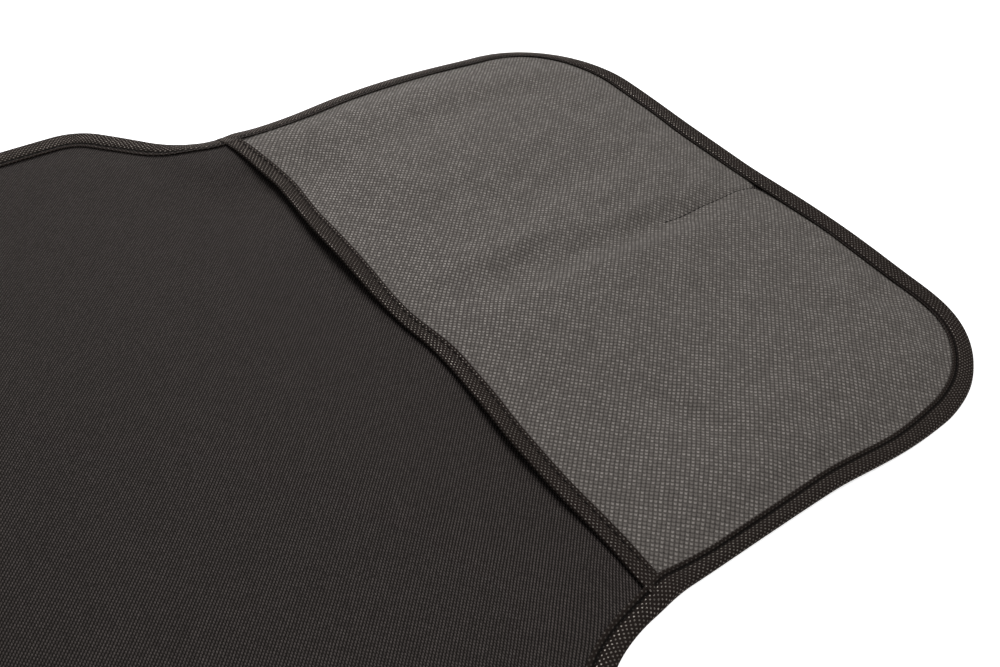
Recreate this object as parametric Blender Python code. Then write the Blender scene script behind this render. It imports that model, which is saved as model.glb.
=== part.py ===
"""Seat-back protector mat: a bound cloth panel whose narrower head end carries a sewn pocket.

The mat lies flat on a surface, with its pocket up. X runs across it, Y runs along it towards the
head end, and Z is up. The origin is the middle of its outline, on the surface that it lies on.
Every piece is first drawn as its flat sewing pattern. The function laid() then gives all of them
the same gentle lie, so that pieces that are sewn together stay together.
"""

import math

import bmesh
import bpy
import numpy as np

# Outline of the mat, in metres
MAT_LENGTH = 0.600
MAT_WIDTH = 0.400
HEAD_WIDTH = 0.325
HEAD_CORNER_RADIUS = 0.062
BASE_CORNER_RADIUS = 0.060
SHOULDER_RADIUS = 0.030
NECK_RADIUS = 0.040
SHOULDER_SLOPE = 45.0  # degrees between the sloping shoulder and the mat's width

# Pocket
POCKET_DEPTH = 0.2155
NECK_BELOW_POCKET = 0.021
DART_LENGTH = 0.060
DART_OFFSET = 0.0085
DART_HALF_WIDTH = 0.006
DART_CREASE = 0.0016
DART_FADE = 0.25  # share of a run over which the crease fades out at its ends

# Cloth, tape and thread
PANEL_THICKNESS = 0.0012
POCKET_THICKNESS = 0.0007
TAPE_THICKNESS = 0.0006
TAPE_WIDTH = 0.0115
POCKET_TAPE_WIDTH = 0.0095
TAPE_UNDERLAP = 0.0005  # the lower arm of a folded tape reaches further in, so the seam catches it
THREAD_RADIUS = 0.00025
SEAM_TO_TAPE_EDGE = 0.003
SEAM_GROOVE = 0.00025
SEAM_GROOVE_HALF_WIDTH = 0.0007
TAPE_CROWN = 0.00015
FIT_GAP = 0.0003

# How high the pocket stands off the panel, how quickly it rises from its seam, and over what
# depth the shape of its mouth gives way to that
PUFF_HEIGHT = 0.0046
PUFF_RUN = 0.034
MOUTH_RUN = 0.050
SEAM_BAND = 0.0085  # cloth beside the tape that stays at the tape's height
SETTLE_RUN = 0.040  # over this, the panel comes down from the tape to the surface

# Where the edge tape climbs over the ends of the pocket's own tape
CROSSING_MARGIN = 0.003  # how far beyond the pocket's tape the edge tape keeps its full height
CLIMB = 0.012

# Spacing of the mesh
ARC_STEP = 0.0085
RUN_STEP = 0.024
PANEL_GRID = 0.025
POCKET_GRID_ACROSS = 0.0095
POCKET_GRID_ALONG = 0.015
POCKET_RINGS = [0.0035, 0.0090]  # rings of the pocket's mesh, this far inside the tape
THREAD_SIDES = 5

# Places that follow from the sizes above
HEAD_Y = MAT_LENGTH / 2
BASE_Y = -MAT_LENGTH / 2
HALF_HEAD = HEAD_WIDTH / 2
HALF_MAT = MAT_WIDTH / 2
OPENING_Y = HEAD_Y - POCKET_DEPTH
NECK_Y = OPENING_Y - NECK_BELOW_POCKET
SHOULDER_Y = NECK_Y - (HALF_MAT - HALF_HEAD) * math.tan(math.radians(SHOULDER_SLOPE))
SEAM_INSET = TAPE_WIDTH - SEAM_TO_TAPE_EDGE
HEM_Y = OPENING_Y + POCKET_TAPE_WIDTH + FIT_GAP
CLOTH_INSET = TAPE_THICKNESS + 2 * FIT_GAP
TAPE_PLY = TAPE_THICKNESS + FIT_GAP

# Heights of the layers inside the edge tape, above the surface that the mat lies on
PANEL_IN_TAPE = TAPE_PLY
PANEL_TOP_IN_TAPE = PANEL_IN_TAPE + PANEL_THICKNESS
POCKET_IN_TAPE = PANEL_TOP_IN_TAPE + FIT_GAP
BODY_TAPE_TOP = PANEL_TOP_IN_TAPE + TAPE_PLY
HEAD_TAPE_TOP = POCKET_IN_TAPE + POCKET_THICKNESS + TAPE_PLY
CROSSING_TAPE_TOP = HEAD_TAPE_TOP + 2 * TAPE_PLY

# Places along the edge between which the tape lies over the end of the pocket's own tape
CROSSING_LOW = OPENING_Y - CROSSING_MARGIN
CROSSING_HIGH = OPENING_Y + POCKET_TAPE_WIDTH + CROSSING_MARGIN

# Lines that the meshes of neighbouring pieces share, so that they bend at the same places
CROSSING_LINES = [CROSSING_LOW, CROSSING_HIGH, CROSSING_HIGH + CLIMB]
DART_LINES = [DART_OFFSET - DART_HALF_WIDTH, DART_OFFSET, DART_OFFSET + DART_HALF_WIDTH]
DART_TIP = HEAD_Y - TAPE_WIDTH - DART_LENGTH

# Ridges and hollows of the pocket cloth: x, y, height, reach across, reach along
POCKET_RELIEF = [
    (-0.092, HEAD_Y - 0.115, 0.0030, 0.055, 0.130),
    (-0.036, HEAD_Y - 0.140, -0.0010, 0.040, 0.110),
    (0.014, HEAD_Y - 0.095, 0.0012, 0.050, 0.120),
    (0.096, HEAD_Y - 0.178, -0.0034, 0.055, 0.075),
]

# Where the pocket's free edge, and the inner edge of its tape, stand up: x, height, reach across
MOUTH_LIFTS = [
    (0.045, 0.0070, 0.085),
    (-0.062, 0.0018, 0.050),
]
HEM_LIFTS = [
    (0.024, 0.0041, 0.078),
    (-0.062, 0.0010, 0.050),
]

# Where the mat's edge rises a little from the surface: x, y, height, reach
LIFTS = [
    (-HALF_HEAD, HEAD_Y - 0.110, 0.0015, 0.090),
    (HALF_HEAD, HEAD_Y - 0.135, 0.0018, 0.070),
    (-HALF_MAT, SHOULDER_Y - 0.010, 0.0030, 0.110),
    (HALF_MAT, SHOULDER_Y - 0.060, 0.0016, 0.090),
]

# Where the sewn edge is drawn in or out in the plane: x, y, shift in x, shift in y, reach
PULLS = [
    (-HALF_HEAD, NECK_Y + 0.026, 0.0040, 0.0, 0.070),
    (-HALF_HEAD, HEAD_Y - 0.120, -0.0022, 0.0, 0.060),
    (HALF_HEAD, HEAD_Y - 0.086, 0.0030, 0.0, 0.040),
    (HALF_HEAD, HEAD_Y - 0.134, -0.0012, 0.0, 0.030),
]


def clear_scene():
    for obj in list(bpy.data.objects):
        bpy.data.objects.remove(obj)


def bump(x, y, middle_x, middle_y, reach_x, reach_y):
    """1 at the middle, falling smoothly to exactly 0 at the reach."""
    share = ((x - middle_x) / reach_x) ** 2 + ((y - middle_y) / reach_y) ** 2
    return np.clip(1 - share, 0, None) ** 2


def laid(x, y, z):
    """A pattern point's place as the mat lies."""
    lift = sum(h * bump(x, y, cx, cy, reach, reach) for cx, cy, h, reach in LIFTS)
    shift_x = sum(dx * bump(x, y, cx, cy, reach, reach) for cx, cy, dx, dy, reach in PULLS)
    shift_y = sum(dy * bump(x, y, cx, cy, reach, reach) for cx, cy, dx, dy, reach in PULLS)
    return np.stack([x + shift_x, y + shift_y, z + lift], axis=-1)


def outline_corners():
    """The outline's corners, anticlockwise, each with the radius that rounds it."""
    right = [
        (HALF_MAT, BASE_Y, BASE_CORNER_RADIUS),
        (HALF_MAT, SHOULDER_Y, SHOULDER_RADIUS),
        (HALF_HEAD, NECK_Y, NECK_RADIUS),
        (HALF_HEAD, HEAD_Y, HEAD_CORNER_RADIUS),
    ]
    return right + [(-x, y, radius) for x, y, radius in reversed(right)]


def rounded_corner(before, corner, after, radius):
    """Points and outward normals round one corner of an anticlockwise path."""
    into = (corner - before) / np.linalg.norm(corner - before)
    out = (after - corner) / np.linalg.norm(after - corner)
    turn = math.atan2(into[0] * out[1] - into[1] * out[0], into @ out)
    tangent = radius * math.tan(abs(turn) / 2)
    start = corner - into * tangent
    side = math.copysign(1, turn)
    centre = start + side * radius * np.array([-into[1], into[0]])
    steps = max(2, math.ceil(radius * abs(turn) / ARC_STEP))
    points, normals = [], []
    for step in range(steps + 1):
        angle = turn * step / steps
        cos, sin = math.cos(angle), math.sin(angle)
        normal = np.array([into[1] * cos + into[0] * sin, into[1] * sin - into[0] * cos])
        points.append(centre + side * radius * normal)
        normals.append(normal)
    return points, normals


def outline():
    """Stations round the mat's outline: points and outward normals, anticlockwise."""
    corners = outline_corners()
    places = [np.array(corner[:2]) for corner in corners]
    points, normals = [], []
    for index, corner in enumerate(corners):
        before, after = places[index - 1], places[(index + 1) % len(places)]
        arc_points, arc_normals = rounded_corner(before, places[index], after, corner[2])
        if points:
            add_run(points, normals, arc_points[0], arc_normals[0])
        points += arc_points
        normals += arc_normals
    add_run(points, normals, points[0], normals[0])
    return np.array(points), np.array(normals)


def add_run(points, normals, end, normal):
    """Adds the stations of the straight run from the last point up to, but not including, end."""
    start = points[-1]
    span = end - start
    length = np.linalg.norm(span)
    count = math.ceil(length / RUN_STEP)
    shares = [step / count for step in range(1, count)]
    axis, lines = (0, DART_LINES) if abs(span[0]) > abs(span[1]) else (1, CROSSING_LINES)
    marks = [(line - start[axis]) / span[axis] for line in lines]
    margin = ARC_STEP / 8 / length
    marks = [mark for mark in marks if margin < mark < 1 - margin]
    near = RUN_STEP / 3 / length
    shares = [s for s in shares if all(abs(s - mark) > near for mark in marks)] + marks
    for share in sorted(shares):
        points.append(start + (end - start) * share)
        normals.append(normal)


OUTLINE, NORMALS = outline()


def distance_to(path, x, y, closed):
    """Distance of each point to a path of straight pieces."""
    starts = path if closed else path[:-1]
    ends = np.roll(path, -1, axis=0) if closed else path[1:]
    spans = ends - starts
    to_x = x[:, None] - starts[None, :, 0]
    to_y = y[:, None] - starts[None, :, 1]
    share = (to_x * spans[:, 0] + to_y * spans[:, 1]) / (spans**2).sum(axis=1)
    share = np.clip(share, 0, 1)
    return np.hypot(to_x - share * spans[:, 0], to_y - share * spans[:, 1]).min(axis=1)


def smooth(share):
    share = np.clip(share, 0, 1)
    return share * share * (3 - 2 * share)


def panel_bottom(x, y):
    """Underside of the panel: at the tape's height beside the edge, on the surface inside."""
    inside = distance_to(OUTLINE, x, y, True) - TAPE_WIDTH - SEAM_BAND
    return PANEL_IN_TAPE * (1 - smooth(inside / SETTLE_RUN))


def head_stations():
    """Which stations lie round the head end, from one end of the pocket's opening to the other."""
    return np.flatnonzero(OUTLINE[:, 1] > OPENING_Y + CLOTH_INSET)


def head_path(inset):
    """The head end's outline moved inwards, closed off square at the pocket's opening."""
    chosen = head_stations()
    path = OUTLINE[chosen] - inset * NORMALS[chosen]
    edge = OPENING_Y + CLOTH_INSET
    right, left = (HALF_HEAD - inset, edge), (-HALF_HEAD + inset, edge)
    return np.vstack([[right], path, [left]])


def lifts_at(x, lifts):
    return sum(height * bump(x, 0, middle, 0, reach, reach) for middle, height, reach in lifts)


def pocket_bottom(x, y):
    """Underside of the pocket cloth, which stands off the panel between its seams."""
    inner_y = np.maximum(y, HEM_Y)
    beyond_tape = distance_to(head_path(0), x, inner_y, False) - TAPE_WIDTH - FIT_GAP
    share = np.clip(beyond_tape / PUFF_RUN, 0, 1)
    rise = share * (2 - share)
    relief = sum(h * bump(x, inner_y, cx, cy, rx, ry) for cx, cy, h, rx, ry in POCKET_RELIEF)
    hem_lift = lifts_at(x, HEM_LIFTS)
    inner = smooth((y - HEM_Y) / MOUTH_RUN)
    over_hem = np.clip((HEM_Y - y) / (HEM_Y - OPENING_Y), 0, 1)
    flare = (lifts_at(x, MOUTH_LIFTS) - hem_lift) * over_hem
    stand_off = rise * (hem_lift + (PUFF_HEIGHT + relief - hem_lift) * inner + flare)
    hem_stack = TAPE_PLY * (1 - smooth((y - CROSSING_HIGH) / CLIMB))
    along = np.clip((HEAD_Y - TAPE_WIDTH - y) / DART_LENGTH, 0, 1)
    across = np.clip(1 - np.abs(x - DART_OFFSET) / DART_HALF_WIDTH, 0, 1)
    fade = np.clip((1 - along) / DART_FADE, 0, 1) * np.clip(share / DART_FADE, 0, 1)
    crease = DART_CREASE * across * fade
    return POCKET_IN_TAPE + hem_stack + stand_off - crease


def grid_lines(low, high, step, extra=()):
    """Evenly spaced cuts between low and high, with extra ones, none too close to another."""
    count = max(1, round((high - low) / step))
    even = [low + (high - low) * index / count for index in range(1, count)]
    kept = [e for e in even if all(abs(e - x) > step / 4 for x in extra)]
    return sorted(kept + [x for x in extra if low < x < high])


def cut_grid(mesh, faces, cuts_x, cuts_y):
    """Cuts the given flat faces along lines of constant x and constant y."""
    geometry = list({v for f in faces for v in f.verts} | {e for f in faces for e in f.edges})
    geometry += faces
    for cuts, normal in ((cuts_x, (1, 0, 0)), (cuts_y, (0, 1, 0))):
        for place in cuts:
            point = tuple(component * place for component in normal)
            made = bmesh.ops.bisect_plane(
                mesh, geom=geometry, dist=1e-6, plane_co=point, plane_no=normal
            )
            geometry = made["geom"]


def triangulate(mesh):
    """Splits each quad along its shorter diagonal, so that layers that follow each other match."""
    mesh.normal_update()
    bmesh.ops.triangulate(mesh, faces=mesh.faces[:], quad_method="SHORT_EDGE")


def cloth(name, rings, closed, cuts_x, cuts_y, bottom, thickness, material):
    """One piece of cloth: rings of its flat pattern from the edge inwards, given thickness."""
    mesh = bmesh.new()
    loops = [[mesh.verts.new((x, y, 0)) for x, y in ring] for ring in rings]
    count = len(loops[0])
    spans = range(count) if closed else range(count - 1)
    for outer, inner in zip(loops, loops[1:]):
        for i in spans:
            j = (i + 1) % count
            mesh.faces.new((outer[i], outer[j], inner[j], inner[i]))
    middle = mesh.faces.new(loops[-1])
    cut_grid(mesh, [middle], cuts_x, cuts_y)
    pattern = np.array([v.co[:2] for v in mesh.verts])
    for v, height in zip(mesh.verts, bottom(pattern[:, 0], pattern[:, 1])):
        v.co.z = height
    triangulate(mesh)
    made = bmesh.ops.extrude_face_region(mesh, geom=mesh.faces[:])
    upper = [item for item in made["geom"] if isinstance(item, bmesh.types.BMVert)]
    upper_set = set(upper)
    lower = [v for v in mesh.verts if v not in upper_set]
    for verts, above in ((lower, 0), (upper, thickness)):
        x, y, z = np.array([v.co for v in verts]).T
        for v, place in zip(verts, laid(x, y, z + above)):
            v.co = place
    bmesh.ops.recalc_face_normals(mesh, faces=mesh.faces[:])
    return finished(name, mesh, material)


def sweep(name, sections, closed, material):
    """A solid through a row of sections that all have as many points."""
    mesh = bmesh.new()
    rows = [[mesh.verts.new(point) for point in section] for section in sections]
    sides = len(rows[0])
    pairs = list(zip(rows, rows[1:])) + ([(rows[-1], rows[0])] if closed else [])
    for first, second in pairs:
        for i in range(sides):
            j = (i + 1) % sides
            mesh.faces.new((first[i], first[j], second[j], second[i]))
    if not closed:
        mesh.faces.new(rows[0])
        mesh.faces.new(rows[-1])
    triangulate(mesh)
    bmesh.ops.recalc_face_normals(mesh, faces=mesh.faces[:])
    return finished(name, mesh, material)


def finished(name, mesh, material):
    """Turns a bmesh into a smooth-shaded object of the scene."""
    data = bpy.data.meshes.new(name)
    mesh.to_mesh(data)
    mesh.free()
    data.shade_smooth()
    data.set_sharp_from_angle(angle=math.radians(40))
    data.materials.append(material)
    obj = bpy.data.objects.new(name, data)
    bpy.context.scene.collection.objects.link(obj)
    return obj


def paint(name, colour, roughness):
    material = bpy.data.materials.new(name)
    material.use_nodes = True
    shader = material.node_tree.nodes["Principled BSDF"]
    shader.inputs["Base Color"].default_value = (*colour, 1)
    shader.inputs["Roughness"].default_value = roughness
    shader.inputs["Metallic"].default_value = 0
    return material


def folded_tape(width, top):
    """Section of a tape folded over an edge: distance in from the fold, and height.

    It runs from the upper arm's free edge, over the fold and back along the inside.
    """
    groove = width - SEAM_TO_TAPE_EDGE
    nose = TAPE_THICKNESS + FIT_GAP
    crown_at = groove / 2
    outside = [
        (width, top),
        (groove + SEAM_GROOVE_HALF_WIDTH, top),
        (groove, top - SEAM_GROOVE),
        (groove - SEAM_GROOVE_HALF_WIDTH, top),
        (crown_at, top + TAPE_CROWN),
        (nose, top),
        (0, top - nose),
        (0, nose),
        (nose, 0),
        (width + TAPE_UNDERLAP, 0),
    ]
    inside = [
        (width + TAPE_UNDERLAP, TAPE_THICKNESS),
        (nose, TAPE_THICKNESS),
        (TAPE_THICKNESS, nose),
        (TAPE_THICKNESS, top - nose),
        (nose, top - TAPE_THICKNESS),
        (width, top - TAPE_THICKNESS),
    ]
    return outside + inside


def edge_tape_top(y):
    """Height of the edge tape's top: more layers lie in it round the head end."""
    if y < CROSSING_LOW:
        share = smooth((CROSSING_LOW - y) / CLIMB)
        return CROSSING_TAPE_TOP + (BODY_TAPE_TOP - CROSSING_TAPE_TOP) * share
    share = smooth((y - CROSSING_HIGH) / CLIMB)
    return CROSSING_TAPE_TOP + (HEAD_TAPE_TOP - CROSSING_TAPE_TOP) * share


def thread_section(inset, height):
    """Round section of a thread that lies a fitting gap above the given height."""
    middle = height + FIT_GAP + THREAD_RADIUS
    turns = [2 * math.pi * side / THREAD_SIDES for side in range(THREAD_SIDES)]
    return [
        (inset + THREAD_RADIUS * math.sin(turn), middle - THREAD_RADIUS * math.cos(turn))
        for turn in turns
    ]


def section_places(point, inwards, section):
    """Places of a section whose distances are measured inwards from a point of an edge."""
    along = np.array([distance for distance, height in section])
    height = np.array([height for distance, height in section])
    x = point[0] + inwards[0] * along
    y = point[1] + inwards[1] * along
    return laid(x, y, height)


def make_panel(material):
    insets = [CLOTH_INSET, TAPE_WIDTH, TAPE_WIDTH + SEAM_BAND]
    rings = [OUTLINE - inset * NORMALS for inset in insets]
    cuts_x = grid_lines(-HALF_MAT, HALF_MAT, PANEL_GRID)
    cuts_y = grid_lines(BASE_Y, HEAD_Y, PANEL_GRID)
    cloth("main_panel", rings, True, cuts_x, cuts_y, panel_bottom, PANEL_THICKNESS, material)


POCKET_INSETS = [CLOTH_INSET, TAPE_WIDTH + FIT_GAP] + [TAPE_WIDTH + ring for ring in POCKET_RINGS]


def pocket_lines_across():
    """The pocket mesh's lines of constant x."""
    inner = HALF_HEAD - POCKET_INSETS[-1]
    return grid_lines(-inner, inner, POCKET_GRID_ACROSS, DART_LINES)


def pocket_lines_along():
    """The pocket mesh's lines of constant y."""
    settled = CROSSING_HIGH + CLIMB
    lines = grid_lines(settled, HEAD_Y - POCKET_INSETS[-1], POCKET_GRID_ALONG, [DART_TIP])
    return [HEM_Y, settled] + lines


def make_pocket(material):
    rings = [head_path(inset) for inset in POCKET_INSETS]
    cloth(
        "pocket_panel",
        rings,
        False,
        pocket_lines_across(),
        pocket_lines_along(),
        pocket_bottom,
        POCKET_THICKNESS,
        material,
    )


def make_edge_tape(tape, thread):
    tape_sections, thread_sections = [], []
    for point, normal in zip(OUTLINE, NORMALS):
        top = edge_tape_top(point[1])
        tape_sections.append(section_places(point, -normal, folded_tape(TAPE_WIDTH, top)))
        seam = thread_section(SEAM_INSET, top - SEAM_GROOVE)
        thread_sections.append(section_places(point, -normal, seam))
    sweep("edge_binding", tape_sections, True, tape)
    sweep("edge_seam_thread", thread_sections, True, thread)


def opening_stations():
    """Places across the pocket's opening, where the pocket cloth has its own mesh lines."""
    sides = [HALF_HEAD - inset for inset in POCKET_INSETS[1:]]
    end = HALF_HEAD - CLOTH_INSET - 2 * TAPE_THICKNESS
    right = [end] + sides
    return sorted([-x for x in right] + pocket_lines_across() + right)


def on_pocket(x, section):
    """A section of the pocket's tape raised to where the pocket cloth lies inside it."""
    inset = np.array([distance for distance, height in section])
    raised = pocket_bottom(np.full(len(inset), x), OPENING_Y + inset) - TAPE_PLY
    return [(distance, low + height) for (distance, height), low in zip(section, raised)]


def make_pocket_tape(tape, thread):
    tape_sections, thread_sections = [], []
    inwards = np.array([0.0, 1.0])
    top = POCKET_THICKNESS + 2 * TAPE_PLY
    seam_inset = POCKET_TAPE_WIDTH - SEAM_TO_TAPE_EDGE
    edge_seam = HALF_HEAD - TAPE_WIDTH - FIT_GAP
    for x in opening_stations():
        point = np.array([x, OPENING_Y])
        tape_section = on_pocket(x, folded_tape(POCKET_TAPE_WIDTH, top))
        tape_sections.append(section_places(point, inwards, tape_section))
        if abs(x) <= edge_seam + FIT_GAP / 2:
            seam = on_pocket(x, thread_section(seam_inset, top - SEAM_GROOVE))
            thread_sections.append(section_places(point, inwards, seam))
    sweep("pocket_binding", tape_sections, False, tape)
    sweep("pocket_seam_thread", thread_sections, False, thread)


def make_dart_thread(thread):
    """The thread that closes the dart, in the crease it makes."""
    lines = [HEAD_Y - inset for inset in POCKET_INSETS[1:]] + pocket_lines_along()
    sections = []
    for y in sorted(line for line in lines if line >= DART_TIP):
        surface = pocket_bottom(np.array([DART_OFFSET]), np.array([y]))[0] + POCKET_THICKNESS
        section = thread_section(0, surface)
        sections.append(section_places(np.array([DART_OFFSET, y]), (1.0, 0.0), section))
    sweep("dart_thread", sections, False, thread)


def main():
    clear_scene()
    panel = paint("black_twill", (0.033, 0.030, 0.029), 0.85)
    pocket = paint("grey_nonwoven", (0.105, 0.098, 0.092), 0.70)
    tape = paint("black_nonwoven_tape", (0.022, 0.019, 0.018), 0.60)
    thread = paint("black_thread", (0.010, 0.010, 0.010), 0.50)
    make_panel(panel)
    make_pocket(pocket)
    make_edge_tape(tape, thread)
    make_pocket_tape(tape, thread)
    make_dart_thread(thread)


main()
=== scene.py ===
import math

import bpy
import numpy as np
from mathutils import Matrix, Vector
from mathutils.geometry import delaunay_2d_cdt


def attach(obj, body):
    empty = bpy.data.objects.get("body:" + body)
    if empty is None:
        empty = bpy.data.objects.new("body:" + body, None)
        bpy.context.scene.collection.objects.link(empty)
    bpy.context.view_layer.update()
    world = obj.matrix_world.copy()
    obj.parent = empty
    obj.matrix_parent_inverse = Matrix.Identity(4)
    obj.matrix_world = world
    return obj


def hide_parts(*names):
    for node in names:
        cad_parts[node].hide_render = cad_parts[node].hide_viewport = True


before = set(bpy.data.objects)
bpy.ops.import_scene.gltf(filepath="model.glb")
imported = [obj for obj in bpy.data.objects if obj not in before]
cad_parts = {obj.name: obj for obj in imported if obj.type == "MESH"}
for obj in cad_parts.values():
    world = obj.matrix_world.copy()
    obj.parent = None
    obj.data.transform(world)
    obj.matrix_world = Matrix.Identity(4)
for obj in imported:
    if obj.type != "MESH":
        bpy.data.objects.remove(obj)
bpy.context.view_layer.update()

# Outline of the mat's sewing pattern, in metres; x across, y towards the head end, z up
HEAD_Y = 0.300
BASE_Y = -0.300
HALF_MAT = 0.200
HALF_HEAD = 0.1625
OPENING_Y = 0.0845
NECK_Y = 0.0635
SHOULDER_Y = 0.026
ARC_POINTS = 60
CORNERS = [
    (HALF_MAT, BASE_Y, 0.060),
    (HALF_MAT, SHOULDER_Y, 0.030),
    (HALF_HEAD, NECK_Y, 0.040),
    (HALF_HEAD, HEAD_Y, 0.062),
]

# Cloth, tape and thread
PANEL_THICKNESS = 0.0011
POCKET_THICKNESS = 0.0005
TAPE_THICKNESS = 0.00045
POCKET_TAPE_THICKNESS = TAPE_THICKNESS * 0.85
TAPE_WIDTH = 0.0115
POCKET_TAPE_WIDTH = 0.0093
LIP = 0.0026
POCKET_LIP = 0.0019
FOLD_DEPTH = 0.0014
POCKET_FOLD_DEPTH = 0.0008
STITCH = 0.004
STITCH_GAP = 0.03
THREAD_RADIUS = 0.00024
THREAD_END = 0.62
THREAD_SINK = 0.00042
THREAD_TWIST = (9000.0, 8300.0)
POCKET_SEAM_END_GAP = 0.0003
POCKET_STITCH_RISE = 0.0003
DART_STITCH_RISE = 0.0001
POCKET_BOND_PITCH = 0.00168
TAPE_BOND_PITCH = 0.00140
YARN_PITCH = (0.000776, 0.000765)

# Heights of the layers inside the edge tape
PANEL_BOTTOM_IN_TAPE = 0.0006
PANEL_TOP_IN_TAPE = PANEL_BOTTOM_IN_TAPE + PANEL_THICKNESS
LAYER_GAP = 0.0001
POCKET_TOP_IN_TAPE = PANEL_TOP_IN_TAPE + LAYER_GAP + POCKET_THICKNESS

# How far in the main cloth begins to come down, over what run, and where both cloths are cut
PANEL_LEVEL_INSET = 0.020
PANEL_FALL_RUN = 0.040
CUT_EDGE_INSET = 0.0012

# The tapes: their stitched groove, its dimples, the lip beyond it and the crown before the fold
BODY_GROOVE = 0.00225
HEAD_GROOVE = 0.0029
GROOVE_CHANGE_Y = OPENING_Y - 0.004
GROOVE_CHANGE_RUN = 0.010
DIMPLE = 0.00022
DIMPLE_SWING = 0.00013
CROWN = 0.0006
CROWN_WANDER = 0.12
WIDTH_WANDER = 0.0003
LIP_RISE = 0.00025
LIP_WANDER = 0.00012
SHOULDER = (0.0006, 0.0013, 0.0022)
UNDER_RISE = 0.00004

# Where the edge tape goes over the ends of the pocket's tape
NEAR_CROSSING_RISE = 0.0013
FAR_CROSSING_RISE = 0.0006
CROSSING_Y = OPENING_Y + 0.0045
CROSSING_REACH = 0.0075

# The pocket's tape, with heights from the cloth's upper face: its lower side, its groove, its crown
# and its lip, then how far in it ends and where its ends are held down
POCKET_TAPE_BASE = -POCKET_THICKNESS - 0.0006
POCKET_GROOVE = 0.0005
POCKET_CROWN = 0.0004
POCKET_WIDTH_WANDER = 0.00012
POCKET_LIP_RISE = 0.00012
POCKET_LIP_WANDER = 0.00010
POCKET_TAPE_END_INSET = 0.0016
FREE_HALF = 0.140
FREE_RUN = 0.010

# The dart, its crease, with its ends and fade in shares of the dart's length, and the low step
# beside it
DART_X = 0.0085
DART_END_Y = HEAD_Y - TAPE_WIDTH
DART_LENGTH = 0.061
DART_STITCHES = 20
CREASE_DEPTH = 0.0009
CREASE_WIDTH = 0.0022
CREASE_ENDS = (-0.2, 1.08)
CREASE_FADE = 0.25
STEP_DEPTH = 0.0005
STEP_PLACE = 0.006
STEP_WIDTH = 0.006

# Spacing of the cloths' meshes, and the lines along the dart that the pocket's follows
PANEL_MESH = 0.003
POCKET_MESH = 0.0022
DART_MESH = 0.0015
DART_LINES = (-0.0024, -0.0012, -0.0005, 0, 0.0005, 0.0012, 0.0024)
MOUTH_POINTS = 160

# How the mat's edge lies: x, y, rise, reach
LIFTS = [
    (-HALF_HEAD, 0.190, 0.0015, 0.090),
    (HALF_HEAD, 0.165, 0.0018, 0.070),
    (-HALF_MAT, 0.026, 0.0014, 0.100),
    (HALF_MAT, -0.034, 0.0016, 0.090),
]

# Where the sewn edge is drawn in or out in the plane: x, y, shift in x, shift in y, reach
PULLS = [
    (-HALF_HEAD, 0.0950, 0.0030, 0, 0.060),
    (-HALF_HEAD, 0.180, -0.0022, 0, 0.060),
    (HALF_HEAD, 0.214, 0.0020, 0, 0.044),
    (0.168, 0.070, 0.0030, 0, 0.030),
    (0.050, HEAD_Y, 0, 0.0026, 0.060),
    (0.130, 0.294, 0.0006, 0.0008, 0.030),
    (-0.090, HEAD_Y, 0, 0.0010, 0.050),
]

# How the pocket's mouth lies, from left to right, in millimetres: x, then the place and height of
# its free edge, then the place and height of its tape's inner edge, with y from the head end
MOUTH = [
    (-160, -219.6, 2.7, -212.0, 2.9),
    (-150, -219.2, 2.9, -211.3, 3.1),
    (-137, -217.4, 3.9, -209.2, 3.2),
    (-122, -215.2, 5.1, -205.6, 3.4),
    (-109, -213.4, 5.5, -203.8, 3.3),
    (-95, -214.0, 5.4, -205.0, 3.0),
    (-81, -215.1, 5.7, -206.1, 3.2),
    (-68, -216.0, 6.2, -206.2, 3.6),
    (-55, -216.1, 6.5, -206.2, 3.7),
    (-44, -216.1, 6.4, -206.3, 3.6),
    (-33, -216.1, 5.8, -206.8, 3.4),
    (-22, -216.0, 5.0, -207.6, 3.3),
    (-12, -215.6, 4.2, -207.9, 3.4),
    (-2, -215.1, 3.5, -207.7, 3.3),
    (8, -213.9, 3.1, -206.5, 3.2),
    (18, -212.4, 3.1, -204.8, 3.3),
    (27, -212.1, 3.1, -203.9, 3.4),
    (37, -212.4, 3.5, -204.3, 3.4),
    (48, -213.4, 4.1, -205.0, 3.3),
    (58, -214.3, 4.7, -205.7, 3.2),
    (67, -215.2, 4.9, -206.7, 3.1),
    (76, -216.1, 5.1, -207.6, 3.2),
    (85, -216.5, 4.9, -208.0, 3.2),
    (93, -216.4, 4.3, -208.3, 3.2),
    (101, -216.4, 3.9, -208.5, 3.4),
    (109, -216.4, 3.7, -208.4, 3.4),
    (124, -215.7, 3.3, -208.2, 3.3),
    (138, -215.6, 3.3, -208.2, 3.3),
    (152, -216.2, 3.4, -208.5, 3.2),
    (160, -216.4, 3.2, -208.6, 3.1),
]

# How finely the mouth's runs are read, and how far they are smoothed
MOUTH_STEP = 0.0005
MOUTH_BLUR = 0.0035
BLUR_STEPS = 16

# The pocket's rise from its seam, the runs over which the mouth's lie fades, and its crumples
PUFF_HEIGHT = 0.0044
PUFF_RUN = 0.034
MOUTH_SHIFT_RUN = 0.060
MOUTH_HEIGHT_RUN = 0.052
SEWN_OVERLAP = 0.002
SEWN_RUN = 0.010
SEAT_RISE = 0.0003
CRUMPLE = 0.00032
SEAM_CRUMPLE = 0.00070
SEAM_CRUMPLE_RUN = 0.016
CRUMPLE_GAIN = 2.5

# Unevenness of the main cloth
SWELL = 0.00012

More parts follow.
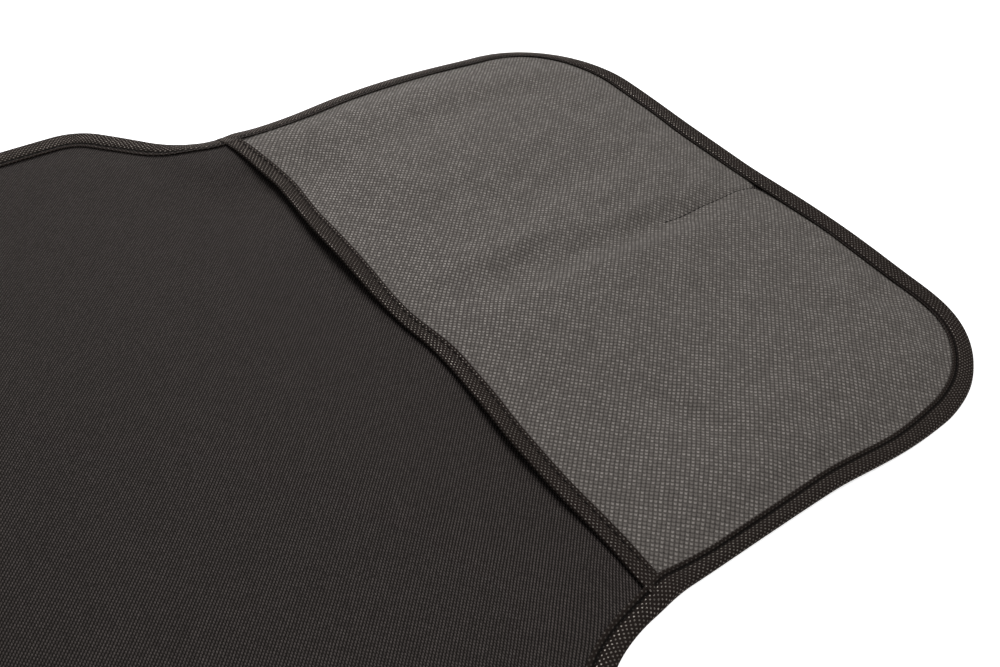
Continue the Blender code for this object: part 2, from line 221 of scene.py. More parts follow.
# Ridges and hollows of the pocket: x, y, height, reach across, reach along
RELIEF = [
    (-0.092, 0.185, 0.0030, 0.055, 0.130),
    (-0.036, 0.160, -0.0012, 0.040, 0.110),
    (0.014, 0.205, 0.0012, 0.050, 0.120),
    (0.096, 0.122, -0.0034, 0.055, 0.075),
    (-0.132, 0.185, 0.0014, 0.020, 0.100),
    (0.002, 0.146, -0.0042, 0.019, 0.075),
    (0.009, 0.228, -0.0036, 0.015, 0.075),
    (0.112, 0.152, -0.0018, 0.036, 0.013),
    (0.032, 0.200, 0.0010, 0.020, 0.060),
    (-0.022, 0.215, 0.0008, 0.016, 0.060),
    (0.122, 0.215, 0.0010, 0.026, 0.030),
]

# Down the left side of the head end the edge tips outwards: its fold stays down, and the cloth
# just inside the tape stands up
TIP_HEIGHT = 0.0042
TIP_PLACE = (-HALF_HEAD, 0.170)
TIP_REACH = (0.095, 0.165)
TIP_STEEPNESS = 1.4
TIP_LEVEL_WIDTH = 0.018
TIP_FALL_WIDTH = 0.037
TIP_END_Y = 0.040
TIP_END_RUN = 0.028

# Down the right side and round the head end the edge tape is folded with less of it on top. In
# millimetres: run along the edge from the pocket's mouth, width of the upper side, width of its lip
NARROWED_TAPE = [
    (-340, 11.5, 2.6),
    (-260, 8.6, 2.0),
    (-30, 8.6, 2.0),
    (-8, 8.4, 1.9),
    (8, 9.1, 1.9),
    (30, 7.4, 1.8),
    (60, 7.2, 1.8),
    (90, 7.7, 1.8),
    (128, 8.2, 1.8),
    (156, 9.4, 1.9),
    (180, 9.0, 1.9),
    (211, 8.9, 1.7),
    (235, 10.0, 1.4),
    (260, 10.7, 1.1),
    (450, 10.7, 1.1),
    (530, 11.5, 2.6),
]

# The camera that took the photograph
CAMERA_PLACE = (0.28445, -0.10021, 0.3142)
CAMERA_RIGHT = (0.59246, 0.80241, 0.07160)
CAMERA_FORWARD = (-0.55999, 0.47409, -0.67944)
FOCAL_PIXELS = 1106
IMAGE_WIDTH = 1000
SENSOR = 36.0

# The white ground and the light of the studio
FLOOR_HALF = 3.0
FLOOR_Z = -0.0003
FLOOR_TONE = (0.90, 0.90, 0.90, 1)
FLOOR_GLOW = 0.60
SKY_LIGHT = 0.27
SKY_SEEN = 1.0


def smooth(share):
    """A soft step from 0 to 1."""
    share = np.clip(share, 0, 1)
    return share * share * (3 - 2 * share)


def bump(x, y, cx, cy, rx, ry):
    """1 at the middle, falling smoothly to 0 at the reach."""
    return np.clip(1 - ((x - cx) / rx) ** 2 - ((y - cy) / ry) ** 2, 0, None) ** 2


def tip(x, y):
    """How much a point rises where the edge tips outwards."""
    x, y = np.broadcast_arrays(x, y)
    away = ((x - TIP_PLACE[0]) / TIP_REACH[0]) ** 2 + ((y - TIP_PLACE[1]) / TIP_REACH[1]) ** 2
    chosen = away < 1
    inset = distance_to(OUTLINE[::6], np.stack([x[chosen], y[chosen]], axis=-1))
    rise = np.minimum(inset / TAPE_WIDTH, 1)
    fall = 1 - smooth((inset - TIP_LEVEL_WIDTH) / TIP_FALL_WIDTH)
    lift = np.zeros(x.shape)
    lift[chosen] = TIP_HEIGHT * smooth((1 - away[chosen]) * TIP_STEEPNESS) * rise * fall
    return lift * smooth((y - TIP_END_Y) / TIP_END_RUN)


def laid(x, y, z):
    """Where a point of the sewing pattern lies."""
    z = z + tip(x, y) + sum(h * bump(x, y, cx, cy, r, r) for cx, cy, h, r in LIFTS)
    shift_x = sum(dx * bump(x, y, cx, cy, r, r) for cx, cy, dx, dy, r in PULLS)
    shift_y = sum(dy * bump(x, y, cx, cy, r, r) for cx, cy, dx, dy, r in PULLS)
    return np.stack([x + shift_x, y + shift_y, z], axis=-1)


def rounded_outline():
    """Closely spaced points of the outline, anticlockwise."""
    corners = CORNERS + [(-x, y, r) for x, y, r in reversed(CORNERS)]
    points = []
    for index, (x, y, radius) in enumerate(corners):
        here = np.array([x, y])
        before = np.array(corners[index - 1][:2])
        after = np.array(corners[(index + 1) % len(corners)][:2])
        into = (here - before) / np.linalg.norm(here - before)
        out = (after - here) / np.linalg.norm(after - here)
        turn = math.atan2(into[0] * out[1] - into[1] * out[0], into @ out)
        start = here - into * radius * math.tan(abs(turn) / 2)
        side = math.copysign(1, turn)
        centre = start + side * radius * np.array([-into[1], into[0]])
        for angle in turn * np.linspace(0, 1, ARC_POINTS):
            cos, sin = math.cos(angle), math.sin(angle)
            normal = np.array([into[1] * cos + into[0] * sin, into[1] * sin - into[0] * cos])
            points.append(centre + side * radius * normal)
    return np.array(points)


def resampled(points, count):
    """Evenly spaced stations on a closed path, from its first point on."""
    closed = np.vstack([points, points[:1]])
    steps = np.linalg.norm(np.diff(closed, axis=0), axis=1)
    run = np.concatenate([[0], np.cumsum(steps)])
    wanted = np.arange(count) * run[-1] / count
    return np.stack([np.interp(wanted, run, closed[:, i]) for i in (0, 1)], axis=1), run[-1]


def outward(path):
    """Unit normals of a closed anticlockwise path."""
    along = np.roll(path, -2, axis=0) - np.roll(path, 2, axis=0)
    along /= np.linalg.norm(along, axis=1)[:, None]
    return np.stack([along[:, 1], -along[:, 0]], axis=1)


STEPS_PER_STITCH = 3
POCKET_STEPS_PER_STITCH = 4
ROUGH_OUTLINE = rounded_outline()
_, OUTLINE_LENGTH = resampled(ROUGH_OUTLINE, 8)
STITCH_COUNT = round(OUTLINE_LENGTH / STITCH)
OUTLINE, OUTLINE_LENGTH = resampled(ROUGH_OUTLINE, STITCH_COUNT * STEPS_PER_STITCH)
NORMALS = outward(OUTLINE)


def distance_to(path, points, closed=True):
    """Distance of each point to a path of straight pieces."""
    ends = np.roll(path, -1, axis=0) if closed else path[1:]
    starts = path if closed else path[:-1]
    best = np.full(len(points), np.inf)
    for start, end in zip(starts, ends):
        span = end - start
        share = np.clip((points - start) @ span / (span @ span), 0, 1)
        gap = points - start - share[:, None] * span
        best = np.minimum(best, np.einsum("ij,ij->i", gap, gap))
    return np.sqrt(best)


def is_inside(path, points):
    """Whether each point lies inside a closed path."""
    odd = np.zeros(len(points), bool)
    for (ax, ay), (bx, by) in zip(path, np.roll(path, -1, axis=0)):
        if ay == by:
            continue
        crosses = (ay > points[:, 1]) != (by > points[:, 1])
        odd ^= crosses & (points[:, 0] < (bx - ax) * (points[:, 1] - ay) / (by - ay) + ax)
    return odd


def random_waves(seed, count, low, high):
    """A smooth random surface, made of plane waves whose lengths lie between low and high."""
    rng = np.random.default_rng(seed)
    turns = rng.uniform(0, math.pi, count)
    waves = 2 * math.pi / np.exp(rng.uniform(math.log(low), math.log(high), count))
    phases = rng.uniform(0, 2 * math.pi, count)

    def surface(x, y):
        total = 0
        for turn, wave, phase in zip(turns, waves, phases):
            total = total + np.cos(wave * (x * math.cos(turn) + y * math.sin(turn)) + phase)
        return total / math.sqrt(count)

    return surface


PANEL_SWELL = random_waves(3, 9, 0.060, 0.160)
POCKET_CRUMPLE = random_waves(11, 14, 0.014, 0.040)
EDGE_WANDER = random_waves(5, 8, 0.030, 0.120)


def mouth_profile():
    """Smoothed runs of the mouth's free edge and of its tape's inner edge."""
    x = np.linspace(-HALF_HEAD, HALF_HEAD, round(2 * HALF_HEAD / MOUTH_STEP) + 1)
    places = np.array(MOUTH) / 1000
    offsets = np.arange(-BLUR_STEPS, BLUR_STEPS + 1) * MOUTH_STEP
    kernel = np.exp(-0.5 * (offsets / MOUTH_BLUR) ** 2)
    kernel /= kernel.sum()
    runs = []
    for column in range(1, 5):
        run = np.interp(x, places[:, 0], places[:, column])
        runs.append(np.convolve(np.pad(run, BLUR_STEPS, mode="edge"), kernel, mode="valid"))
    runs[0] += HEAD_Y
    runs[2] += HEAD_Y
    return x, runs


MOUTH_X, MOUTH_RUNS = mouth_profile()


def mouth_at(x):
    """y and z of the mouth's free edge, then y and z of its tape's inner edge."""
    return [np.interp(x, MOUTH_X, run) for run in MOUTH_RUNS]


def head_path(inset, spacing=1):
    """The head end's outline moved inwards, from the opening's right end round to its left."""
    path = OUTLINE - inset * NORMALS
    chosen = np.flatnonzero(OUTLINE[:, 1] > OPENING_Y + CUT_EDGE_INSET)
    return path[chosen][::spacing]


SEAM_PATH = head_path(0, 3)


def pocket_surface(x, y):
    """Place in y, and height of the upper face, of the pocket cloth at a point of its pattern."""
    front_y, front_z, hem_y, hem_z = mouth_at(x)
    inset = y - OPENING_Y
    over_hem = np.clip(inset / POCKET_TAPE_WIDTH, 0, 1)
    beyond = np.clip(inset - POCKET_TAPE_WIDTH, 0, None)
    in_tape = inset < POCKET_TAPE_WIDTH
    shift = (hem_y - OPENING_Y - POCKET_TAPE_WIDTH) * (1 - smooth(beyond / MOUTH_SHIFT_RUN))
    place_y = np.where(in_tape, front_y + (hem_y - front_y) * over_hem, y + shift)
    behind = np.maximum(y, OPENING_Y + SEWN_OVERLAP)
    from_seam = distance_to(SEAM_PATH, np.stack([x, behind], axis=1), False)
    share = np.clip((from_seam - TAPE_WIDTH) / PUFF_RUN, 0, 1)
    rise = share * (2 - share)
    relief = sum(h * bump(x, y, cx, cy, rx, ry) for cx, cy, h, rx, ry in RELIEF)
    near_seam = np.exp(-np.clip(from_seam - TAPE_WIDTH, 0, None) / SEAM_CRUMPLE_RUN)
    depth = CRUMPLE + SEAM_CRUMPLE * near_seam
    crumple = depth * POCKET_CRUMPLE(x, y) * smooth(share * CRUMPLE_GAIN)
    puff = POCKET_TOP_IN_TAPE + rise * (PUFF_HEIGHT + relief) + crumple
    inner = smooth(beyond / MOUTH_HEIGHT_RUN)
    sewn = smooth((from_seam - TAPE_WIDTH + SEWN_OVERLAP) / SEWN_RUN)
    seat = POCKET_TOP_IN_TAPE + SEAT_RISE
    front_z = seat + (front_z - seat) * sewn
    hem_z = seat + (hem_z - seat) * sewn
    height = hem_z * (1 - inner) + puff * inner
    height = np.where(in_tape, front_z + (hem_z - front_z) * over_hem, height)
    return place_y, height - dart_crease(x, y)


def dart_crease(x, y):
    """Depth of the crease that the dart draws into the cloth."""
    along = (DART_END_Y - y) / DART_LENGTH
    fade = smooth((CREASE_ENDS[1] - along) / CREASE_FADE) * (along > CREASE_ENDS[0])
    away = x - DART_X
    narrow = CREASE_DEPTH * np.exp(-np.abs(away) / CREASE_WIDTH)
    step = STEP_DEPTH * np.exp(-((away - STEP_PLACE) / STEP_WIDTH) ** 2)
    return fade * (narrow + step)


def filled(boundary, spacing, extra=()):
    """Points and triangles of the area inside a closed path, evenly meshed."""
    low, high = boundary.min(axis=0), boundary.max(axis=0)
    rows = np.arange(low[1], high[1], spacing * math.sqrt(3) / 2)
    columns = np.arange(low[0], high[0], spacing)
    grid = [(x + (index % 2) * spacing / 2, y) for index, y in enumerate(rows) for x in columns]
    grid = np.array(grid)
    for line in extra:
        grid = grid[distance_to(line, grid, False) > spacing * 0.7]
    if len(extra):
        grid = np.vstack([grid, *extra])
    grid = grid[is_inside(boundary, grid)]
    grid = grid[distance_to(boundary, grid) > spacing * 0.6]
    points = [Vector(point) for point in np.vstack([boundary, grid])]
    count = len(boundary)
    edges = [(index, (index + 1) % count) for index in range(count)]
    verts, _, faces, _, _, _ = delaunay_2d_cdt(points, edges, [], 1, 1e-8)
    return np.array([tuple(v) for v in verts]), [tuple(face) for face in faces]


def make_object(name, verts, faces, cut, material):
    """A smooth-shaded object, with each point's place on the flat cloth kept for its material."""
    mesh = bpy.data.meshes.new(name)
    mesh.from_pydata([tuple(v) for v in verts], [], faces)
    places = mesh.attributes.new("cut", "FLOAT_VECTOR", "POINT")
    places.data.foreach_set("vector", np.asarray(cut, np.float32).ravel())
    mesh.shade_smooth()
    mesh.materials.append(material)
    mesh.update()
    piece = bpy.data.objects.new(name, mesh)
    bpy.context.scene.collection.objects.link(piece)
    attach(piece, "root")
    return piece


def make_cloth(name, pattern, faces, upper, lower, material):
    """A closed piece of cloth from its triangles and the places of its two faces."""
    count = len(pattern)
    uses = {}
    for face in faces:
        for start, end in zip(face, face[1:] + face[:1]):
            uses[(start, end)] = True
    rim = [(a, b) for a, b in uses if (b, a) not in uses]
    a, b, c = (pattern[i] for i in faces[0])
    turned = (b[0] - a[0]) * (c[1] - a[1]) - (b[1] - a[1]) * (c[0] - a[0]) < 0
    top = [face[::-1] if turned else face for face in faces]
    bottom = [tuple(i + count for i in face[::-1]) for face in top]
    sides = [(a, b, b + count, a + count) if turned else (b, a, a + count, b + count)
             for a, b in rim]
    cut = np.column_stack([pattern, np.zeros(count)])
    piece = make_object(name, np.vstack([upper, lower]), top + bottom + sides,
                        np.vstack([cut, cut]), material)
    piece.data.set_sharp_from_angle(angle=math.radians(60))
    return piece


def panel_bottom(points):
    """Height of the main cloth's lower face: held up in the tape, and on the floor within."""
    inside = distance_to(OUTLINE[::3], points) - PANEL_LEVEL_INSET
    return PANEL_BOTTOM_IN_TAPE * (1 - smooth(inside / PANEL_FALL_RUN))


def make_panel(material):
    boundary = (OUTLINE - CUT_EDGE_INSET * NORMALS)[::3]
    pattern, faces = filled(boundary, PANEL_MESH)
    low = panel_bottom(pattern)
    x, y = pattern.T
    swell = SWELL * (1 + PANEL_SWELL(x, y)) * (low < PANEL_BOTTOM_IN_TAPE)
    under = laid(x, y, low)
    over = laid(x, y, low + PANEL_THICKNESS + np.clip(swell, 0, None))
    return make_cloth("twill_cloth", pattern, faces, over, under, material)


def make_pocket(material):
    side = head_path(CUT_EDGE_INSET, 2)
    half = HALF_HEAD - CUT_EDGE_INSET
    front_x = np.linspace(-half, half, MOUTH_POINTS)
    front = np.stack([front_x, np.full(len(front_x), OPENING_Y + 0.0008)], axis=1)
    boundary = np.vstack([front, side])
    dart_y = np.arange(DART_END_Y - DART_LENGTH * 1.1, DART_END_Y + 0.004, DART_MESH)
    extra = [np.stack([np.full(len(dart_y), DART_X + gap), dart_y], axis=1)
             for gap in DART_LINES]
    pattern, faces = filled(boundary, POCKET_MESH, extra)
    x, y = pattern.T
    place_y, height = pocket_surface(x, y)
    under = laid(x, place_y, height - POCKET_THICKNESS)
    over = laid(x, place_y, height)
    return make_cloth("pocket_cloth", pattern, faces, over, under, material)


def swept(name, rows, cut, closed, material):
    """A closed tube through rows of places that all have as many points."""
    rows = np.asarray(rows)
    count, sides = rows.shape[:2]
    faces = []
    for row in range(count if closed else count - 1):
        here, there = row * sides, (row + 1) % count * sides
        for side in range(sides):
            other = (side + 1) % sides
            faces.append((here + side, here + other, there + other, there + side))
    if not closed:
        faces.append(tuple(range(sides))[::-1])
        faces.append(tuple((count - 1) * sides + side for side in range(sides)))
    cut = np.asarray(cut).reshape(-1, 3)
    return make_object(name, rows.reshape(-1, 3), faces, cut, material)


def tape_profile(width, under, lip, groove, crown, dimple, lip_rise, nose):
    """Outer face of a folded tape: insets from the fold, and heights above its lower arm.

    It runs from the upper arm's free edge over the fold, to the lower arm's free edge. Each
    argument is an array with one value for each station, or one number for them all.
    """
    seam = width - lip
    ones = np.ones_like(groove)
    points = [
        (width, groove + lip_rise),
        (seam + lip * 0.84, groove + lip_rise * 1.05),
        (seam + lip * 0.60, groove + lip_rise * 0.9),
        (seam + lip * 0.40, groove + lip_rise * 0.55),
        (seam + lip * 0.20, groove - dimple * 0.35),
        (seam, groove - dimple),
        (seam - SHOULDER[0], groove - dimple * 0.2),
        (seam - SHOULDER[1], groove + crown * 0.50),
        (seam - SHOULDER[2], groove + crown * 0.80),
        (seam * 0.58, groove + crown),
        (seam * 0.40, groove + crown * 0.98),
    ]
    top = groove + crown * 0.86
    middle = top / 2
    points.append((nose * 1.35, groove + crown * 0.93))
    for angle in np.radians([80, 55, 30, 5, -20, -45, -70]):
        inset = nose * (1 - math.cos(angle))
        points.append((inset * ones, middle + middle * math.sin(angle)))
    points.append((nose * 1.2, UNDER_RISE * ones))
    for share in (0.35, 0.6, 0.8, 1.04):
        points.append((under * share, 0.0 * ones))
    inset = np.stack([p[0] * ones for p in points], axis=1)
    height = np.stack([p[1] * ones for p in points], axis=1)
    return inset, height


def thickened(inset, height, thickness):
    """Adds a tape's inner face to its outer one, and gives each point's place across the tape."""
    along_i = np.gradient(inset, axis=1)
    along_h = np.gradient(height, axis=1)
    length = np.hypot(along_i, along_h)
    inner_i = inset - along_h / length * thickness
    inner_h = height + along_i / length * thickness
    steps = np.hypot(np.diff(inset, axis=1), np.diff(height, axis=1))
    across = np.concatenate([np.zeros((len(inset), 1)), np.cumsum(steps, axis=1)], axis=1)
    return (np.concatenate([inset, inner_i[:, ::-1]], axis=1),
            np.concatenate([height, inner_h[:, ::-1]], axis=1),
            np.concatenate([across, across[:, ::-1]], axis=1))


def edge_heights(points):
    """Height of the edge tape's stitched groove at each station."""
    over_pocket = smooth((points[:, 1] - GROOVE_CHANGE_Y) / GROOVE_CHANGE_RUN)
    crossing = np.exp(-((points[:, 1] - CROSSING_Y) / CROSSING_REACH) ** 2)
    rise = np.where(points[:, 0] > 0, NEAR_CROSSING_RISE, FAR_CROSSING_RISE)
    return BODY_GROOVE + (HEAD_GROOVE - BODY_GROOVE) * over_pocket + rise * crossing


def stitch_dimple(count, steps):
    """Depth of the seam's groove at each step: deepest where the thread enters the cloth."""
    phase = np.arange(count) % steps / steps
    return DIMPLE + DIMPLE_SWING * np.cos(2 * math.pi * phase)


def edge_tape_widths():
    """Width of the edge tape's upper side, and of its lip, at each station."""
    right = np.flatnonzero((OUTLINE[:, 0] > 0) & (OUTLINE[:, 1] < HEAD_Y / 2))
    mouth = right[np.argmin(np.abs(OUTLINE[right, 1] - OPENING_Y))]
    run = (np.arange(len(OUTLINE)) - mouth) * OUTLINE_LENGTH / len(OUTLINE)
    table = np.array(NARROWED_TAPE) / 1000
    return [np.interp(run, table[:, 0], table[:, column]) for column in (1, 2)]


def make_edge_tape(material):
    count = len(OUTLINE)
    groove = edge_heights(OUTLINE)
    x, y = OUTLINE.T
    width, lip = edge_tape_widths()
    width = width + WIDTH_WANDER * EDGE_WANDER(x, y)
    crown = CROWN * (1 + CROWN_WANDER * EDGE_WANDER(y, x))
    lip_rise = LIP_RISE + LIP_WANDER * EDGE_WANDER(x + 1, y)
    dimple = stitch_dimple(count, STEPS_PER_STITCH)
    nose = np.full(count, FOLD_DEPTH)
    under = 2 * TAPE_WIDTH - width
    inset, height = tape_profile(width, under, lip, groove, crown, dimple, lip_rise, nose)
    inset, height, across = thickened(inset, height, TAPE_THICKNESS)
    across = across + (LIP - lip)[:, None]
    px = x[:, None] - NORMALS[:, 0:1] * inset
    py = y[:, None] - NORMALS[:, 1:2] * inset
    rows = laid(px, py, height)
    along = np.arange(count) * OUTLINE_LENGTH / count
    cut = np.stack([np.broadcast_to(along[:, None], inset.shape), across,
                    np.zeros_like(inset)], axis=-1)
    return swept("edge_tape", rows, cut, True, material)


def pocket_tape_frame(x):
    """Free edge, direction inwards and width of the mouth's tape at each x."""
    front_y, front_z, hem_y, hem_z = mouth_at(x)
    length = np.hypot(hem_y - front_y, hem_z - front_z)
    inward = np.stack([(hem_y - front_y) / length, (hem_z - front_z) / length], axis=1)
    return np.stack([front_y, front_z], axis=1), inward, length


def make_pocket_tape(material):
    half = HALF_HEAD - POCKET_TAPE_END_INSET
    count = round(2 * half / STITCH) * POCKET_STEPS_PER_STITCH + 1
    x = np.linspace(-half, half, count)
    front, inward, width = pocket_tape_frame(x)
    normal = np.stack([-inward[:, 1], inward[:, 0]], axis=1)
    free = 1 - smooth((np.abs(x) - FREE_HALF) / FREE_RUN)
    groove = np.full(count, POCKET_GROOVE - POCKET_TAPE_BASE)
    width = width + POCKET_WIDTH_WANDER * EDGE_WANDER(x, x * 0)
    dimple = stitch_dimple(count, POCKET_STEPS_PER_STITCH) * (0.3 + 0.4 * free)
    crown = POCKET_CROWN * (0.2 + 0.8 * free)
    lip_rise = (POCKET_LIP_RISE + POCKET_LIP_WANDER * EDGE_WANDER(x, x * 0 + 1)) * free
    nose = np.full(count, POCKET_FOLD_DEPTH)
    inset, height = tape_profile(width, width, POCKET_LIP, groove, crown, dimple, lip_rise, nose)
    inset, height, across = thickened(inset, height, POCKET_TAPE_THICKNESS)
    height = height + POCKET_TAPE_BASE
    py = front[:, 0:1] + inward[:, 0:1] * inset + normal[:, 0:1] * height
    pz = front[:, 1:2] + inward[:, 1:2] * inset + normal[:, 1:2] * height
    px = np.broadcast_to(x[:, None], inset.shape)
    rows = laid(px, py, pz)
    cut = np.stack([px, across, np.zeros_like(inset)], axis=-1)
    return swept("pocket_tape", rows, cut, False, material)


def stitched(name, places, ups, material):
    """Separate stitches between holes: each a short thread that bows up and dips at its ends."""
    sections, sides = 7, 6
    verts, faces, cut = [], [], []
    turns = 2 * math.pi * np.arange(sides) / sides
    for index, (start, end) in enumerate(zip(places, places[1:])):
        along = end - start
        length = np.linalg.norm(along)
        along = along / length
        up = ups[index]
        side = np.cross(along, up)
        side /= np.linalg.norm(side)
        first = len(verts)
        for section in range(sections):
            share = section / (sections - 1)
            swell = math.sin(math.pi * share) ** 0.5
            radius = THREAD_RADIUS * (THREAD_END + (1 - THREAD_END) * swell)
            sink = THREAD_SINK * abs(2 * share - 1) ** 3
            run = length * (STITCH_GAP + (1 - 2 * STITCH_GAP) * share)
            middle = start + along * run - up * sink
            for turn in turns:
                offset = side * math.cos(turn) + up * math.sin(turn)
                verts.append(middle + offset * radius)
                cut.append((index * length + share * length, turn * THREAD_RADIUS, 0))
        for section in range(sections - 1):
            here, there = first + section * sides, first + (section + 1) * sides
            for turn in range(sides):
                other = (turn + 1) % sides
                faces.append((here + turn, there + turn, there + other, here + other))
        faces.append(tuple(range(first, first + sides)))
        last = first + (sections - 1) * sides
        faces.append(tuple(range(last, last + sides))[::-1])
    return make_object(name, verts, faces, cut, material)


def make_edge_stitches(material):
    holes = OUTLINE[::STEPS_PER_STITCH]
    normals = NORMALS[::STEPS_PER_STITCH]
    width, lip = edge_tape_widths()
    seam = (width - lip)[::STEPS_PER_STITCH, None]
    inner = holes - seam * normals
    top = edge_heights(holes) - DIMPLE
    places = laid(inner[:, 0], inner[:, 1], top)
    places = np.vstack([places, places[:1]])
    ups = np.tile([0.0, 0.0, 1.0], (len(places), 1))
    return stitched("edge_stitches", places, ups, material)


def make_pocket_stitches(material):
    half = HALF_HEAD - TAPE_WIDTH - POCKET_SEAM_END_GAP
    count = round(2 * half / STITCH) + 1
    x = np.linspace(-half, half, count)
    front, inward, width = pocket_tape_frame(x)
    normal = np.stack([-inward[:, 1], inward[:, 0]], axis=1)
    seam = front + inward * (width - POCKET_LIP)[:, None] + normal * POCKET_STITCH_RISE
    places = laid(x, seam[:, 0], seam[:, 1])
    ups = np.column_stack([np.zeros(count), normal])
    return stitched("pocket_stitches", places, ups, material)


def make_dart_stitches(material):
    y = np.linspace(DART_END_Y, DART_END_Y - DART_LENGTH, DART_STITCHES + 1)
    x = np.full(len(y), DART_X)
    place_y, height = pocket_surface(x, y)
    places = laid(x, place_y, height + DART_STITCH_RISE)
    ups = np.tile([0.0, 0.0, 1.0], (len(places), 1))
    return stitched("dart_stitches", places, ups, material)


# Colours, each from its darkest to its lightest
WARM = (1.0, 0.84, 0.76, 1)
POCKET_GROUND = ((0.050, 0.0453, 0.0415, 1), (0.054, 0.0489, 0.0448, 1))
POCKET_LIT = (0.113, 0.1035, 0.0954, 1)
POCKET_GLINT = (0.172, 0.159, 0.147, 1)
TAPE_TONES = ((0.0120, 0.0090, 0.0077, 1), (0.150, 0.134, 0.120, 1))
TWILL_TONES = ((0.0014, 0.0012, 0.0011, 1), (0.058, 0.0501, 0.0478, 1))
THREAD_TONES = ((0.002, 0.0018, 0.0017, 1), (0.008, 0.0072, 0.0066, 1))


class Nodes:
    """A material's nodes, made and linked in short calls."""

    def __init__(self, name):
        self.material = bpy.data.materials.new(name)
        self.material.use_nodes = True
        self.tree = self.material.node_tree
        self.shader = self.tree.nodes["Principled BSDF"]

    def put(self, socket, value):
        if isinstance(value, bpy.types.NodeSocket):
            self.tree.links.new(value, socket)
        else:
            socket.default_value = value

    def math(self, operation, *values):
        node = self.tree.nodes.new("ShaderNodeMath")
        node.operation = operation
        for socket, value in zip(node.inputs, values):
            self.put(socket, value)
        return node.outputs[0]

    def vector(self, operation, *values):
        node = self.tree.nodes.new("ShaderNodeVectorMath")
        node.operation = operation
        for socket, value in zip(node.inputs, values):
            self.put(socket, value)
        return node.outputs["Vector"]

    def ramp(self, value, low, high, to_low=0.0, to_high=1.0):
        node = self.tree.nodes.new("ShaderNodeMapRange")
        node.interpolation_type = "SMOOTHSTEP"
        for socket, item in zip(node.inputs, (value, low, high, to_low, to_high)):
            self.put(socket, item)
        return node.outputs["Result"]

    def mix(self, share, first, second):
        node = self.tree.nodes.new("ShaderNodeMix")
        node.data_type = "RGBA"
        self.put(node.inputs["Factor"], share)
        self.put(node.inputs["A"], first)
        self.put(node.inputs["B"], second)
        return node.outputs["Result"]

    def noise(self, coordinates, scale, detail=2.0, roughness=0.5):
        node = self.tree.nodes.new("ShaderNodeTexNoise")
        self.put(node.inputs["Vector"], coordinates)
        node.inputs["Scale"].default_value = scale
        node.inputs["Detail"].default_value = detail
        node.inputs["Roughness"].default_value = roughness
        return node.outputs["Fac"]

    def fibres(self, coordinates):
        """Fine threads that lie mostly one way."""
        return self.noise(self.turned(coordinates, 20, (1500.0, 5200.0, 1.0)), 1.0, 3.0, 0.6)

    def cell_value(self, cells):
        """A random number for each square of unit size."""
        node = self.tree.nodes.new("ShaderNodeTexWhiteNoise")
        node.noise_dimensions = "2D"
        self.put(node.inputs["Vector"], self.vector("FLOOR", cells))
        return node.outputs["Value"]

    def cut(self):
        """Each point's place on the flat cloth."""
        node = self.tree.nodes.new("ShaderNodeAttribute")
        node.attribute_name = "cut"
        return node.outputs["Vector"]

    def turned(self, coordinates, degrees, scale):
        node = self.tree.nodes.new("ShaderNodeMapping")
        self.put(node.inputs["Vector"], coordinates)
        node.inputs["Rotation"].default_value = (0, 0, math.radians(degrees))
        node.inputs["Scale"].default_value = scale
        return node.outputs["Vector"]

    def split(self, coordinates):
        node = self.tree.nodes.new("ShaderNodeSeparateXYZ")
        self.put(node.inputs[0], coordinates)
        return node.outputs

    def spread(self, value):
        """One number as a vector of three."""
        node = self.tree.nodes.new("ShaderNodeCombineXYZ")
        for socket in node.inputs:
            self.put(socket, value)
        return node.outputs[0]

    def total(self, *terms):
        """Sum of (value, factor) pairs and a last plain number."""
        whole = terms[-1]
        for value, factor in terms[:-1]:
            node = self.tree.nodes.new("ShaderNodeMath")
            node.operation = "MULTIPLY_ADD"
            for socket, item in zip(node.inputs, (value, factor, whole)):
                self.put(socket, item)
            whole = node.outputs[0]
        return whole

    def relief(self, height, distance):
        node = self.tree.nodes.new("ShaderNodeBump")
        self.put(node.inputs["Height"], height)
        node.inputs["Distance"].default_value = distance
        node.inputs["Strength"].default_value = 1.0
        self.put(self.shader.inputs["Normal"], node.outputs["Normal"])

    def set(self, **values):
        for name, value in values.items():
            self.put(self.shader.inputs[name.replace("_", " ")], value)


def lattice(nodes, coordinates, pitch, play):
    """Square lattice at 45 degrees: place in each cell from its middle, and a number for it."""
    sway = nodes.noise(coordinates, 90.0, 1.0)
    scale = 1 / pitch
    cells = nodes.turned(coordinates, 45, (scale, scale, scale))
    cells = nodes.vector("ADD", cells, nodes.spread(nodes.math("MULTIPLY", sway, play)))
    parts = nodes.split(nodes.vector("FRACTION", cells))
    first = nodes.math("SUBTRACT", parts[0], 0.5)
    second = nodes.math("SUBTRACT", parts[1], 0.5)
    return first, second, nodes.cell_value(cells)


